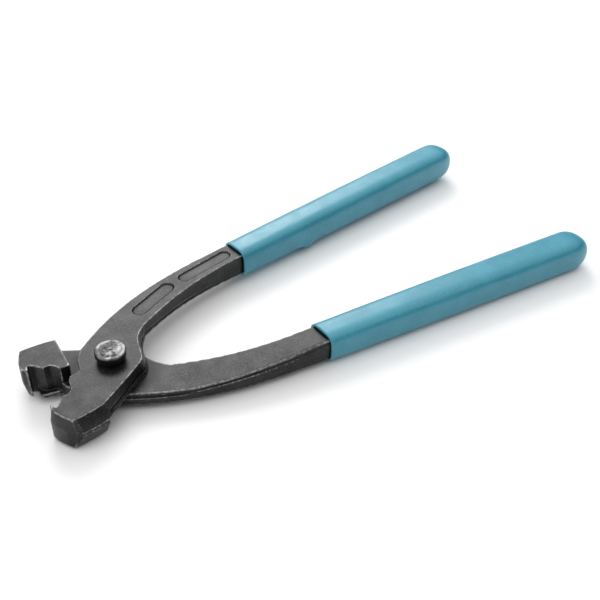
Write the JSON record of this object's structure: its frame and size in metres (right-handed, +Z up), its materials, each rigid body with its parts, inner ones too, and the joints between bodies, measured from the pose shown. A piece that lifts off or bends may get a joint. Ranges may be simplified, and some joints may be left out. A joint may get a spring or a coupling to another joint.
{
  "type": "ear clamp pincers",
  "caption": "Riveted pincers with wide hooked jaw blocks for closing ear clamps, curved forged levers and dipped vinyl grips.",
  "frame": {"origin": "on the rivet's axis, at the flat underside of its lower head, which the tool rests on", "axes": "+X back along the tool towards the grips, +Y towards the upper lever's grip, +Z up along the rivet"},
  "size_m": [0.2125, 0.0936, 0.0171],
  "materials": {
    "lever_steel": "dark phosphated forging, satin, bright where its edges are worn",
    "rivet_steel": "hammered and worn steel head",
    "grip_vinyl": "satin dipped vinyl, teal blue"
  },
  "bodies": {
    "lower": {"lower_lever": "lever_steel", "pivot_rivet": "rivet_steel", "lower_grip": "grip_vinyl"},
    "upper": {"upper_lever": "lever_steel", "upper_grip": "grip_vinyl"}
  },
  "joints": [
    {"name": "pivot", "type": "hinge", "parent": "lower", "child": "upper", "pos_m": [0, 0, 0.00775], "axis": [0, 0, 1], "range_deg": [-12.5, 55]}
  ]
}
